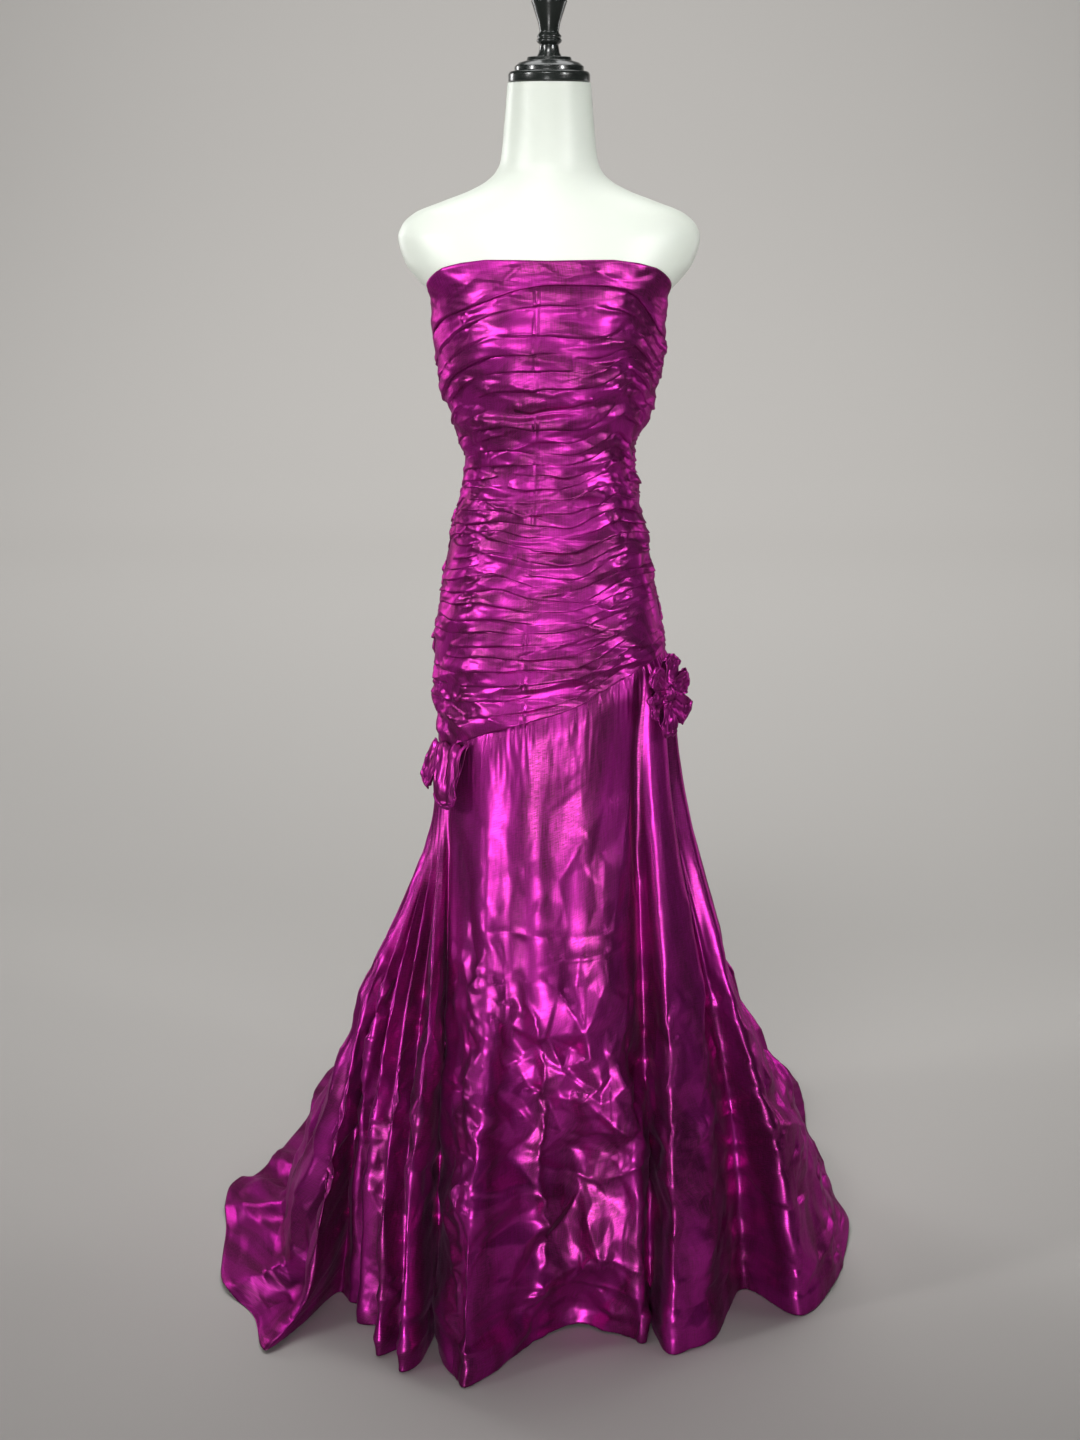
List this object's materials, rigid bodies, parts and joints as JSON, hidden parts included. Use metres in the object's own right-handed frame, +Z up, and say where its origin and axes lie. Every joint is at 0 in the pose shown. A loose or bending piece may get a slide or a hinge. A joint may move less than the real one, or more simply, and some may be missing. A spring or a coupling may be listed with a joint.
{
  "type": "evening gown on dress form",
  "caption": "Strapless floor-length gown with ruched bodice, dropped slanting seam, pleated side drape, hip rosette and sweep train, on a limbless dress form with a stand.",
  "frame": {"origin": "centre of the stand base's underside, on the floor and on the pole's axis", "axes": "+Z up along the pole; the gown's front faces -Y and its train lies towards +Y; +X is the wearer's left"},
  "size_m": [0.8848, 1.2698, 1.684],
  "materials": {
    "satin": "crisp magenta-purple satin",
    "form_shell": "smooth white",
    "turned_wood": "black lacquer",
    "stand_metal": "black"
  },
  "bodies": {
    "root": {"top_band_front": "satin", "top_band_back_left": "satin", "top_band_back_right": "satin", "bodice_front_right": "satin", "bodice_front_left": "satin", "bodice_back_left": "satin", "bodice_back_right": "satin", "skirt_front": "satin", "skirt_side_right": "satin", "skirt_side_left": "satin", "skirt_back_right": "satin", "skirt_back_left": "satin", "hip_puff_front": "satin", "hip_puff_side": "satin", "rosette_knot": "satin", "rosette_loop_1": "satin", "rosette_loop_2": "satin", "rosette_loop_3": "satin", "rosette_loop_4": "satin", "rosette_loop_5": "satin", "rosette_loop_6": "satin", "form_torso": "form_shell", "neck_cap": "turned_wood", "neck_finial": "turned_wood", "stand_pole": "stand_metal", "stand_base": "stand_metal"}
  },
  "joints": []
}
